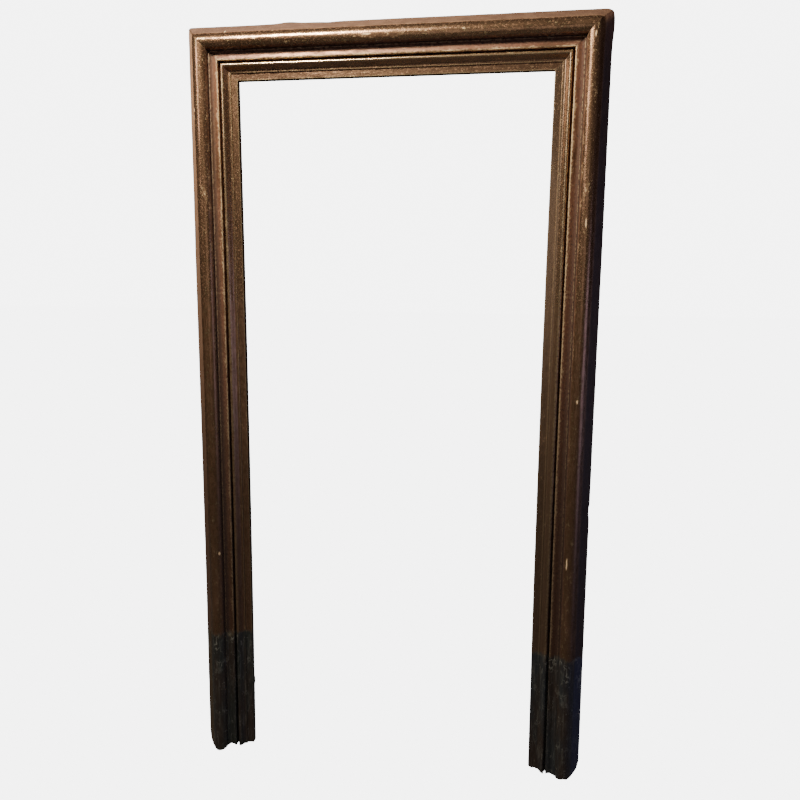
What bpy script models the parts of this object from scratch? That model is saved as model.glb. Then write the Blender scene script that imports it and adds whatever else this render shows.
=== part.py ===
"""Moulded gilt-wood door surround: two jambs and a head, mitred at the top corners.

The origin is on the back of the head, at the middle of its width and of its face, where it is fixed
to the wall. X runs to the right as seen from the front, Y runs back into the wall and Z runs up, so
the wall is the plane Y = 0 and the mouldings stand out towards -Y.
"""

import math

import bmesh
import bpy
from mathutils import Matrix, Vector

# Doorway: clear width between the jambs, and clear height from the floor to the head
OPENING_WIDTH = 0.900
OPENING_HEIGHT = 2.123

# Mouldings from the opening outwards. A width runs across the face, a height out from the wall
INNER_FILLET_WIDTH = 0.020
INNER_FILLET_HEIGHT = 0.0185
STEP_FILLET_WIDTH = 0.005
STEP_FILLET_HEIGHT = 0.022
OGEE_WIDTH = 0.0145
BEAD_RADIUS = 0.0055
BEAD_HEIGHT = 0.037
QUIRK_WIDTH = 0.0055
QUIRK_HEIGHT = 0.025
NOSE_RADIUS = 0.0025
NOSE_HEIGHT = 0.040
NOSE_TURN_DEG = 90.0
HOLLOW_WIDTH = 0.0218
HOLLOW_SINK = 0.004
LISTEL_WIDTH = 0.0035
LISTEL_HEIGHT = 0.042
TORUS_RADIUS = 0.021
BEVEL_WIDTH = 0.028
OUTER_EDGE_HEIGHT = 0.019

# How finely the round stretches are cut
OGEE_FACETS = 8
BEAD_FACETS = 4
NOSE_FACETS = 4
HOLLOW_FACETS = 6
TORUS_FACETS = 14

# Touching pieces keep this clearance at the mitres
MITRE_GAP = 0.0003

# How near a point counts as on a cut, and the shortest edge that a finished piece keeps
CUT_TOLERANCE = 1e-7
SHORTEST_EDGE = 1e-6

# Top corners, rounded by wear: radius, and how many flats stand for the round
LEFT_CORNER_WEAR = 0.004
RIGHT_CORNER_WEAR = 0.014
CORNER_WEAR_FLATS = 4

# The outer side is planed away towards the top: how much at the very top, and how far down it reaches
LEFT_TOP_TAPER = 0.008
RIGHT_TOP_TAPER = 0.003
TOP_TAPER_REACH = 0.650

# The jambs have warped: the inner edge bows into the doorway at mid height, and the feet spread
# outwards, more at the outer edge than at the opening
LEFT_BOW = 0.0025
LEFT_INNER_SPREAD = 0.0045
LEFT_OUTER_SPREAD = 0.012
RIGHT_BOW = 0.003
RIGHT_INNER_SPREAD = 0.008
RIGHT_OUTER_SPREAD = 0.015
WARP_SLICES = 12

# Broken feet: share of the face width from the opening outwards, and height over the floor
LEFT_BREAK = (
    (0.00, 0.009),
    (0.09, 0.009),
    (0.15, 0.005),
    (0.30, 0.006),
    (0.40, 0.011),
    (0.47, 0.011),
    (0.57, 0.003),
    (0.68, 0.000),
    (0.78, 0.001),
    (0.88, 0.003),
    (0.94, 0.009),
    (0.98, 0.025),
    (1.00, 0.042),
)
RIGHT_BREAK = (
    (0.00, 0.037),
    (0.06, 0.031),
    (0.14, 0.033),
    (0.25, 0.032),
    (0.31, 0.027),
    (0.37, 0.037),
    (0.52, 0.031),
    (0.68, 0.039),
    (0.76, 0.036),
    (0.84, 0.038),
    (0.90, 0.044),
    (0.96, 0.053),
    (1.00, 0.075),
)
BREAK_RISE_TO_WALL = 0.006
BREAK_CUTTER_MARGIN = 0.030

JAMB_GILDING = (0.27, 0.155, 0.085, 1.0)
HEAD_GILDING = (0.36, 0.215, 0.115, 1.0)
GILDING_ROUGHNESS = 0.42
GILDING_METALLIC = 0.55

INNER_FILLET_END = INNER_FILLET_WIDTH
STEP_FILLET_END = INNER_FILLET_END + STEP_FILLET_WIDTH
OGEE_END = STEP_FILLET_END + OGEE_WIDTH
BEAD_END = OGEE_END + BEAD_RADIUS
QUIRK_END = BEAD_END + QUIRK_WIDTH
NOSE_END = QUIRK_END + NOSE_RADIUS * (1 - math.cos(math.radians(NOSE_TURN_DEG)))
HOLLOW_END = NOSE_END + HOLLOW_WIDTH
LISTEL_END = HOLLOW_END + LISTEL_WIDTH
TORUS_END = LISTEL_END + 2 * TORUS_RADIUS
FACE_WIDTH = TORUS_END + BEVEL_WIDTH
MOULDING_DEPTH = LISTEL_HEIGHT + TORUS_RADIUS

TOP_Z = FACE_WIDTH / 2
SOFFIT_Z = -FACE_WIDTH / 2
FLOOR_Z = SOFFIT_Z - OPENING_HEIGHT


def ogee(start, end, facets):
    """An S-curve that leaves its start and reaches its end level, as points after the start."""
    points = []
    for i in range(1, facets + 1):
        t = i / facets
        rise = t * t * (3 - 2 * t)
        points.append((start[0] + (end[0] - start[0]) * t, start[1] + (end[1] - start[1]) * rise))
    return points


def arc(centre, radius, start_deg, end_deg, facets):
    """Points of a round stretch, from one angle to another, both ends included."""
    points = []
    for i in range(facets + 1):
        angle = math.radians(start_deg + (end_deg - start_deg) * i / facets)
        points.append((centre[0] + radius * math.cos(angle), centre[1] + radius * math.sin(angle)))
    return points


def hollow(start, end, sink, facets):
    """A scoop that sinks gently from its start and rises steeply to its end, as points after the start."""
    deepest_at = 2 / 3
    scoop = sink / (deepest_at**2 * (1 - deepest_at))
    points = []
    for i in range(1, facets + 1):
        t = i / facets
        depth = scoop * t * t * (1 - t)
        across = start[0] + (end[0] - start[0]) * t
        points.append((across, start[1] + (end[1] - start[1]) * t - depth))
    return points


def torus_and_bevel():
    """The large round, from its spring to where the flat outer bevel leaves it, and the bevel's foot."""
    centre = (LISTEL_END + TORUS_RADIUS, LISTEL_HEIGHT)
    foot = (FACE_WIDTH, OUTER_EDGE_HEIGHT)
    reach = math.hypot(foot[0] - centre[0], foot[1] - centre[1])
    towards_foot = math.degrees(math.atan2(foot[1] - centre[1], foot[0] - centre[0]))
    tangent_deg = towards_foot + math.degrees(math.acos(TORUS_RADIUS / reach))
    return arc(centre, TORUS_RADIUS, 180.0, tangent_deg, TORUS_FACETS)[1:] + [foot]


def moulding_section():
    """The closed section as (across, out) points, from the wall at the opening round to the wall outside."""
    points = [(0.0, 0.0), (0.0, INNER_FILLET_HEIGHT), (INNER_FILLET_END, INNER_FILLET_HEIGHT)]
    points += [(INNER_FILLET_END, STEP_FILLET_HEIGHT), (STEP_FILLET_END, STEP_FILLET_HEIGHT)]
    points += ogee(points[-1], (OGEE_END, BEAD_HEIGHT), OGEE_FACETS)
    points += arc((OGEE_END, BEAD_HEIGHT - BEAD_RADIUS), BEAD_RADIUS, 90.0, 0.0, BEAD_FACETS)[1:]
    points += [(BEAD_END, QUIRK_HEIGHT), (QUIRK_END, QUIRK_HEIGHT)]
    nose_centre = (QUIRK_END + NOSE_RADIUS, NOSE_HEIGHT - NOSE_RADIUS)
    points += arc(nose_centre, NOSE_RADIUS, 180.0, 180.0 - NOSE_TURN_DEG, NOSE_FACETS)
    points += hollow(points[-1], (HOLLOW_END, LISTEL_HEIGHT), HOLLOW_SINK, HOLLOW_FACETS)
    points.append((LISTEL_END, LISTEL_HEIGHT))
    points += torus_and_bevel()
    points.append((FACE_WIDTH, 0.0))
    return points


def extruded_section(length):
    """The section in the XY plane, across along +X and out along -Y, extruded along +Z."""
    shape = bmesh.new()
    corners = [shape.verts.new((across, -out, 0.0)) for across, out in moulding_section()]
    face = shape.faces.new(corners)
    grown = bmesh.ops.extrude_face_region(shape, geom=[face], use_keep_orig=True)
    top = [item for item in grown["geom"] if isinstance(item, bmesh.types.BMVert)]
    bmesh.ops.translate(shape, verts=top, vec=(0.0, 0.0, length))
    return shape


def all_of(shape):
    """Every vertex, edge and face of a shape."""
    return shape.verts[:] + shape.edges[:] + shape.faces[:]


def cut_flat(shape, point, outward):
    """Removes what lies beyond a plane and closes the cut."""
    cut = bmesh.ops.bisect_plane(
        shape, geom=all_of(shape), dist=CUT_TOLERANCE, plane_co=point, plane_no=outward, clear_outer=True
    )
    rim = [item for item in cut["geom_cut"] if isinstance(item, bmesh.types.BMEdge)]
    open_rim = [edge for edge in rim if len(edge.link_faces) == 1]
    if open_rim:
        bmesh.ops.contextual_create(shape, geom=open_rim)


def cut_mitre(shape, side, keep_below):
    """Cuts a piece at 45 degrees through the inner corner on one side of the doorway, -1 left or 1 right."""
    normal = Vector((-side, 0.0, 1.0)).normalized() * (1 if keep_below else -1)
    corner = Vector((side * OPENING_WIDTH / 2, 0.0, SOFFIT_Z))
    cut_flat(shape, corner - normal * MITRE_GAP / 2, normal)


def wear_top_corner(shape, side, radius):
    """Rounds one outer top corner with a few flats that touch a circle of this radius."""
    centre = Vector((side * (OPENING_WIDTH / 2 + FACE_WIDTH - radius), 0.0, TOP_Z - radius))
    for i in range(CORNER_WEAR_FLATS):
        angle = math.radians(90.0 * (i + 0.5) / CORNER_WEAR_FLATS)
        outward = Vector((side * math.cos(angle), 0.0, math.sin(angle)))
        cut_flat(shape, centre + outward * radius, outward)


def plane_outer_side(shape, side, taper):
    """Planes the outer side away towards the top: this much at the very top, nothing at the reach below."""
    outer = side * (OPENING_WIDTH / 2 + FACE_WIDTH)
    low = Vector((outer, 0.0, TOP_Z - TOP_TAPER_REACH))
    cut_flat(shape, low, Vector((side * TOP_TAPER_REACH, 0.0, taper)))


def slice_across(shape, slices):
    """Adds level rings up a jamb, from the floor to the head, so that it can bend."""
    for i in range(1, slices + 1):
        level = Vector((0.0, 0.0, FLOOR_Z + OPENING_HEIGHT * i / slices))
        bmesh.ops.bisect_plane(
            shape, geom=all_of(shape), dist=CUT_TOLERANCE, plane_co=level, plane_no=(0.0, 0.0, 1.0)
        )


def warp(shape, side, bow, inner_spread, outer_spread):
    """Bows a jamb's inner edge into the doorway and spreads its foot. Nothing moves at the head or above."""
    for vert in shape.verts:
        down = (SOFFIT_Z - vert.co.z) / OPENING_HEIGHT
        if down > 0:
            across = (side * vert.co.x - OPENING_WIDTH / 2) / FACE_WIDTH
            spread = inner_spread + (outer_spread - inner_spread) * across
            vert.co.x += side * (spread * down**2 - bow * (1 - across) * math.sin(math.pi * down))


def break_cutter(name, outline, side, bow, inner_spread, outer_spread):
    """What is lost from a foot: a prism through the jamb, its top the broken outline, warped as the jamb."""
    beyond = FACE_WIDTH + BREAK_CUTTER_MARGIN
    line = [(share * FACE_WIDTH, height) for share, height in outline]
    line = [(-BREAK_CUTTER_MARGIN, line[0][1])] + line + [(beyond, line[-1][1])]
    corners = line + [(beyond, -BREAK_CUTTER_MARGIN), (-BREAK_CUTTER_MARGIN, -BREAK_CUTTER_MARGIN)]
    shape = bmesh.new()
    rings = []
    for y in (-MOULDING_DEPTH - BREAK_CUTTER_MARGIN, BREAK_CUTTER_MARGIN):
        rise = BREAK_RISE_TO_WALL * (1 + y / MOULDING_DEPTH)
        ring = []
        for across, height in corners:
            x = side * (OPENING_WIDTH / 2 + across)
            ring.append(shape.verts.new((x, y, FLOOR_Z + height + rise)))
        rings.append(ring)
    front, back = rings
    for i in range(len(corners)):
        j = (i + 1) % len(corners)
        shape.faces.new((front[i], front[j], back[j], back[i]))
    shape.faces.new(front)
    shape.faces.new(back)
    warp(shape, side, bow, inner_spread, outer_spread)
    cutter = place_piece(name, shape, None)
    cutter.display_type = "WIRE"
    cutter.hide_render = True
    return cutter


def gilding(name, colour):
    """Toned gold leaf on wood, as one plain finish."""
    material = bpy.data.materials.new(name)
    material.use_nodes = True
    surface = material.node_tree.nodes["Principled BSDF"]
    surface.inputs["Base Color"].default_value = colour
    surface.inputs["Roughness"].default_value = GILDING_ROUGHNESS
    surface.inputs["Metallic"].default_value = GILDING_METALLIC
    return material


def place_piece(name, shape, material):
    """Turns a finished shape into a named object."""
    bmesh.ops.dissolve_degenerate(shape, dist=SHORTEST_EDGE, edges=shape.edges[:])
    bmesh.ops.recalc_face_normals(shape, faces=shape.faces[:])
    mesh = bpy.data.meshes.new(name)
    shape.to_mesh(mesh)
    shape.free()
    if material:
        mesh.materials.append(material)
    piece = bpy.data.objects.new(name, mesh)
    bpy.context.scene.collection.objects.link(piece)
    return piece


def build_jamb(name, side, corner_wear, top_taper, warping, outline):
    """One upright, from its broken foot to its mitre. Side is -1 for the left and 1 for the right."""
    shape = extruded_section(OPENING_HEIGHT + FACE_WIDTH)
    flip = Matrix.Scale(side, 4, Vector((1.0, 0.0, 0.0)))
    lift = Matrix.Translation((side * OPENING_WIDTH / 2, 0.0, FLOOR_Z))
    bmesh.ops.transform(shape, matrix=lift @ flip, verts=shape.verts[:])
    cut_mitre(shape, side, keep_below=True)
    plane_outer_side(shape, side, top_taper)
    wear_top_corner(shape, side, corner_wear)
    slice_across(shape, WARP_SLICES)
    warp(shape, side, *warping)
    jamb = place_piece(name, shape, gilding(f"{name}_gilding", JAMB_GILDING))
    broken = jamb.modifiers.new("broken_foot", "BOOLEAN")
    broken.operation = "DIFFERENCE"
    broken.object = break_cutter(f"{name}_break", outline, side, *warping)
    return jamb


def build_head(name):
    """The cross piece over the doorway, mitred at both ends."""
    length = OPENING_WIDTH + 2 * FACE_WIDTH
    shape = extruded_section(length)
    # Across turns from +X to +Z, and the run of the moulding from +Z to +X
    swap = Matrix(((0, 0, 1, 0), (0, 1, 0, 0), (1, 0, 0, 0), (0, 0, 0, 1)))
    shift = Matrix.Translation((-length / 2, 0.0, SOFFIT_Z))
    bmesh.ops.transform(shape, matrix=shift @ swap, verts=shape.verts[:])
    for side, corner_wear, top_taper in (
        (-1, LEFT_CORNER_WEAR, LEFT_TOP_TAPER),
        (1, RIGHT_CORNER_WEAR, RIGHT_TOP_TAPER),
    ):
        cut_mitre(shape, side, keep_below=False)
        plane_outer_side(shape, side, top_taper)
        wear_top_corner(shape, side, corner_wear)
    return place_piece(name, shape, gilding(f"{name}_gilding", HEAD_GILDING))


def main():
    for old in list(bpy.data.objects):
        bpy.data.objects.remove(old)
    left_warping = (LEFT_BOW, LEFT_INNER_SPREAD, LEFT_OUTER_SPREAD)
    right_warping = (RIGHT_BOW, RIGHT_INNER_SPREAD, RIGHT_OUTER_SPREAD)
    build_jamb("left_jamb", -1, LEFT_CORNER_WEAR, LEFT_TOP_TAPER, left_warping, LEFT_BREAK)
    build_jamb("right_jamb", 1, RIGHT_CORNER_WEAR, RIGHT_TOP_TAPER, right_warping, RIGHT_BREAK)
    build_head("head")


main()
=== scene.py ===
"""Moulded gilt-wood door surround: two jambs and a head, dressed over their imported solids.

X runs to the right as seen from the front, Y into the wall and Z up. The origin is on the back of the
head, at the middle of its width and of its face, so the wall is the plane Y = 0.
"""

from __future__ import annotations

import logging
import math
from collections.abc import Callable, Iterable
from dataclasses import dataclass, field
from enum import Enum

import bpy
import numpy as np
from mathutils import Matrix, noise

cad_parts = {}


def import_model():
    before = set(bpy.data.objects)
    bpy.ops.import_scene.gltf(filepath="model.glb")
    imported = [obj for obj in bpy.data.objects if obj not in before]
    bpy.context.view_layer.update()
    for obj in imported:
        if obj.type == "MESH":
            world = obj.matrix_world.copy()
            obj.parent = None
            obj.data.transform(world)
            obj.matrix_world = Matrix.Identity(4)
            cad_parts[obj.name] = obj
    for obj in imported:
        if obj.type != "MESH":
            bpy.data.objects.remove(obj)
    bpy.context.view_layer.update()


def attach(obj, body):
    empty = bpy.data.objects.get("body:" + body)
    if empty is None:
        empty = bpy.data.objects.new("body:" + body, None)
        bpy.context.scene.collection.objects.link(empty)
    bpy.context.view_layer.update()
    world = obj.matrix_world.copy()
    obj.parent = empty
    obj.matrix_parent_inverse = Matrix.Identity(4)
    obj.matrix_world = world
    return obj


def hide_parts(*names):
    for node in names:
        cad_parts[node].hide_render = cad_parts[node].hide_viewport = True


log = logging.getLogger("door_surround")

Colour = tuple[float, float, float, float]
Triple = tuple[float, float, float]
Point = tuple[float, float]
Range = tuple[float, float]

EYE = (0.3748, -2.1319)
EYE_UNDER_SOFFIT = 0.5530
ARRIS_PROUD = 0.0010
RECESS_SUNK = (0.0006, 0.0024)
BULGE_SAMPLES = 17
MITRE_SHARE = 0.7
LEVEL = 1e-5
GIRTH_MAP = "girth_and_run"
ARRIS = "arris"
RECESS = "recess"
OUTER = "outer_bevel"
JOINT = "joint"
INNER = "inner_mouldings"
MIDDLE = "nose_and_hollow"
FLAKED = "flaked"
# Mask of painted shade on the hollow's upper part, under the listel.
HOLLOW_SHADE = "hollow_painted_shade"
BACK = "back_face"


class Side(Enum):
    """A side of the doorway. The value is the sign of its X."""

    LEFT = -1
    RIGHT = 1


def ramp(value: np.ndarray, start: float, end: float) -> np.ndarray:
    """How far a value has come from a start to an end, from 0 to 1."""
    return np.clip((value - start) / (end - start), 0.0, 1.0)


@dataclass(frozen=True)
class Section:
    """The moulding's cut end. A width runs across the face, a height out from the wall."""

    inner_fillet_width: float = 0.020
    inner_fillet_height: float = 0.0185
    step_fillet_width: float = 0.005
    step_fillet_height: float = 0.022
    ogee_width: float = 0.0145
    bead_radius: float = 0.0055
    bead_height: float = 0.037
    quirk_width: float = 0.0055
    quirk_height: float = 0.025
    nose_radius: float = 0.0025
    nose_height: float = 0.040
    nose_turn: float = math.radians(90.0)
    hollow_width: float = 0.0218
    hollow_sink: float = 0.004
    listel_width: float = 0.0035
    listel_height: float = 0.042
    torus_radius: float = 0.021
    bevel_width: float = 0.028
    outer_edge_height: float = 0.019
    ogee_facets: int = 16
    hollow_facets: int = 12
    torus_facets: int = 40
    fine_step: float = 0.00025
    arris_softness: int = 3
    front_step: float = 0.0023
    back_step: float = 0.012
    bend_step: float = math.radians(20.0)

    @property
    def ogee_end(self) -> float:
        """Where the ogee meets the bead."""
        return self.inner_fillet_width + self.step_fillet_width + self.ogee_width

    @property
    def listel_start(self) -> float:
        """Where the hollow meets the listel."""
        nose = self.nose_radius * (1.0 - math.cos(self.nose_turn))
        return self.ogee_end + self.bead_radius + self.quirk_width + nose + self.hollow_width

    @property
    def torus_start(self) -> float:
        """Where the large round springs from the listel."""
        return self.listel_start + self.listel_width

    @property
    def width(self) -> float:
        """The whole face, from the opening to the outer edge."""
        return self.torus_start + 2.0 * self.torus_radius + self.bevel_width

    @property
    def bevel_start(self) -> float:
        """Where the sloping outer side begins."""
        return self.width - self.bevel_width

    @property
    def depth(self) -> float:
        """How far the large round stands out from the wall."""
        return self.listel_height + self.torus_radius

    @staticmethod
    def _arc(centre: Point, radius: float, start: float, end: float, facets: int = 24) -> list[Point]:
        """Points of a round stretch.

        Args:
            centre: Middle of the round, across and out.
            radius: Its radius in metres.
            start: Angle of its first point.
            end: Angle of its last point.
            facets: How many chords stand for it.

        Returns:
            The points, both ends included.
        """
        angles = [start + (end - start) * i / facets for i in range(facets + 1)]
        return [(centre[0] + radius * math.cos(a), centre[1] + radius * math.sin(a)) for a in angles]

    def _corners(self) -> list[Point]:
        """Lays out the section's sharp outline.

        Returns:
            The closed outline, from the wall at the opening round to the wall outside.
        """
        step_end = self.inner_fillet_width + self.step_fillet_width
        points = [(0.0, 0.0), (0.0, self.inner_fillet_height)]
        points += [(self.inner_fillet_width, self.inner_fillet_height)]
        points += [(self.inner_fillet_width, self.step_fillet_height), (step_end, self.step_fillet_height)]
        rise = self.bead_height - self.step_fillet_height
        for i in range(1, self.ogee_facets + 1):
            t = i / self.ogee_facets
            out = self.step_fillet_height + rise * t * t * (3 - 2 * t)
            points.append((step_end + self.ogee_width * t, out))
        bead_centre = (self.ogee_end, self.bead_height - self.bead_radius)
        points += self._arc(bead_centre, self.bead_radius, math.pi / 2, 0.0)[1:]
        bead_end = self.ogee_end + self.bead_radius
        quirk_end = bead_end + self.quirk_width
        points += [(bead_end, self.quirk_height), (quirk_end, self.quirk_height)]
        nose_centre = (quirk_end + self.nose_radius, self.nose_height - self.nose_radius)
        points += self._arc(nose_centre, self.nose_radius, math.pi, math.pi - self.nose_turn)
        start = points[-1]
        deepest_at = 2.0 / 3.0
        scoop = self.hollow_sink / (deepest_at**2 * (1.0 - deepest_at))
        for i in range(1, self.hollow_facets + 1):
            t = i / self.hollow_facets
            out = start[1] + (self.listel_height - start[1]) * t - scoop * t * t * (1.0 - t)
            points.append((start[0] + self.hollow_width * t, out))
        points.append((self.torus_start, self.listel_height))
        centre = (self.torus_start + self.torus_radius, self.listel_height)
        foot = (self.width, self.outer_edge_height)
        reach = math.hypot(foot[0] - centre[0], foot[1] - centre[1])
        tangent = math.atan2(foot[1] - centre[1], foot[0] - centre[0]) + math.acos(self.torus_radius / reach)
        points += self._arc(centre, self.torus_radius, math.pi, tangent, self.torus_facets)[1:]
        return points + [foot, (self.width, 0.0)]

    def outline(self) -> np.ndarray:
        """Softens the arrises and spreads points round the section, closer where it bends.

        Returns:
            One row for each point: across, out.
        """
        corners = np.array(self._corners() + [(0.0, 0.0)])
        along = np.concatenate([[0.0], np.cumsum(np.hypot(*np.diff(corners, axis=0).T))])
        fine = np.arange(0.0, along[-1], self.fine_step)
        dense = np.stack([np.interp(fine, along, corners[:, k]) for k in range(2)], axis=1)
        soft = sum(np.roll(dense, k, axis=0) for k in range(-self.arris_softness, self.arris_softness + 1))
        soft /= 2 * self.arris_softness + 1
        ahead = np.roll(soft, -1, axis=0) - soft
        behind = soft - np.roll(soft, 1, axis=0)
        turn = ahead[:, 0] * behind[:, 1] - ahead[:, 1] * behind[:, 0]
        bend = np.abs(np.arctan2(turn, (ahead * behind).sum(1)))
        on_wall = soft[:, 1] < self.fine_step / 2
        weight = self.fine_step / np.where(on_wall, self.back_step, self.front_step) + bend / self.bend_step
        total = np.cumsum(weight)
        count = int(total[-1])
        picked = np.searchsorted(total, (np.arange(count) + 0.5) * total[-1] / count)
        return soft[np.unique(picked)]


@dataclass(frozen=True)
class OutlineFacts:
    """What each point of an outline knows about its place in the section."""

    points: np.ndarray
    girth: np.ndarray
    normal: np.ndarray
    arris: np.ndarray
    recess: np.ndarray
    whole_girth: float

    @classmethod
    def measure(cls, points: np.ndarray, near: float = 0.004, wide: float = 0.006) -> OutlineFacts:
        """Measures an outline.

        Args:
            points: The outline, across and out.
            near: Reach that tells an arris from a flat.
            wide: Reach that tells a hollow from the open face.

        Returns:
            The outline with its girth, outward normals, arrises and recesses.
        """
        steps = np.roll(points, -1, axis=0) - points
        lengths = np.hypot(*steps.T)
        girth = np.concatenate([[0.0], np.cumsum(lengths)[:-1]])
        whole = float(lengths.sum())
        tangent = np.roll(points, -1, axis=0) - np.roll(points, 1, axis=0)
        tangent /= np.hypot(*tangent.T)[:, None]
        normal = np.stack([-tangent[:, 1], tangent[:, 0]], axis=1)

        def bulge(reach: float) -> np.ndarray:
            """Measures how far each point stands proud of its surroundings.

            Args:
                reach: How far the surroundings go, either way.

            Returns:
                The distance for each point, below nothing in a hollow.
            """
            offsets = np.linspace(-reach, reach, BULGE_SAMPLES)
            around = np.zeros_like(points)
            for offset in offsets:
                place = (girth + offset) % whole
                for k in range(2):
                    around[:, k] += np.interp(place, girth, points[:, k], period=whole)
            return ((points - around / len(offsets)) * normal).sum(1)

        arris = ramp(bulge(near), 0.0, ARRIS_PROUD)
        recess = ramp(-bulge(wide), *RECESS_SUNK)
        return cls(points, girth, normal, arris, recess, whole)


@dataclass(frozen=True)
class Blemish:
    """A dent, where its depth is above nothing, or a lump. Places are in metres on the moulding."""

    across: float
    run: float
    half_across: float
    half_run: float
    depth: float


@dataclass(frozen=True)
class PaleFleck:
    """A spot where the finish has flaked off down to pale gesso. Places are in metres on the moulding."""

    across: float
    run: float
    half_across: float = 0.0022
    half_run: float = 0.0045


@dataclass(frozen=True)
class Corner:
    """Wear of an outer top corner, and how far the outer side is planed away there."""

    side: Side
    wear: float
    taper: float
    hip_wear: float
    taper_reach: float = 0.650


@dataclass(frozen=True)
class Ripple:
    """Smooth noise: how tight it is along each axis, per metre, and the shift that makes it its own."""

    scale: Triple
    shift: float = 0.0
    increment: float = 1.0
    lacunarity: float = 2.0
    layers: int = 2

    def over(self, points: np.ndarray, seed: float) -> np.ndarray:
        """Samples the noise at many points.

        Args:
            points: One row for each point, three columns.
            seed: Shift that makes one bar unlike another.

        Returns:
            One value for each point, about -1 to 1.
        """
        spots = (points * np.array(self.scale) + (seed + self.shift)).tolist()
        form = (self.increment, self.lacunarity, self.layers)
        return np.fromiter((noise.fractal(spot, *form) for spot in spots), float, len(spots))


WOBBLE = Ripple((14.0, 2.6, 1.0))
TOOL_MARKS = Ripple((120.0, 34.0, 1.0), 7.0)
CHIPS = Ripple((24.0, 11.0, 1.0), 19.0)
SPLINTERS = Ripple((90.0, 45.0, 1.0), 3.0)


@dataclass(frozen=True)
class MaskReach:
    """How far the wear masks and the hollow's painted shade take to fade, in metres, and how full a pale
    fleck's core is, as a ratio.
    """

    bevel: float = 0.006
    joint: float = 0.004
    inner: float = 0.002
    torus: float = 0.006
    hollow_shade_before: Range = (0.014, 0.006)
    hollow_shade_after: float = 0.004
    fleck_core: float = 1.6
    fleck_lowest: float = 0.01
    back: float = 0.0008


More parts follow.
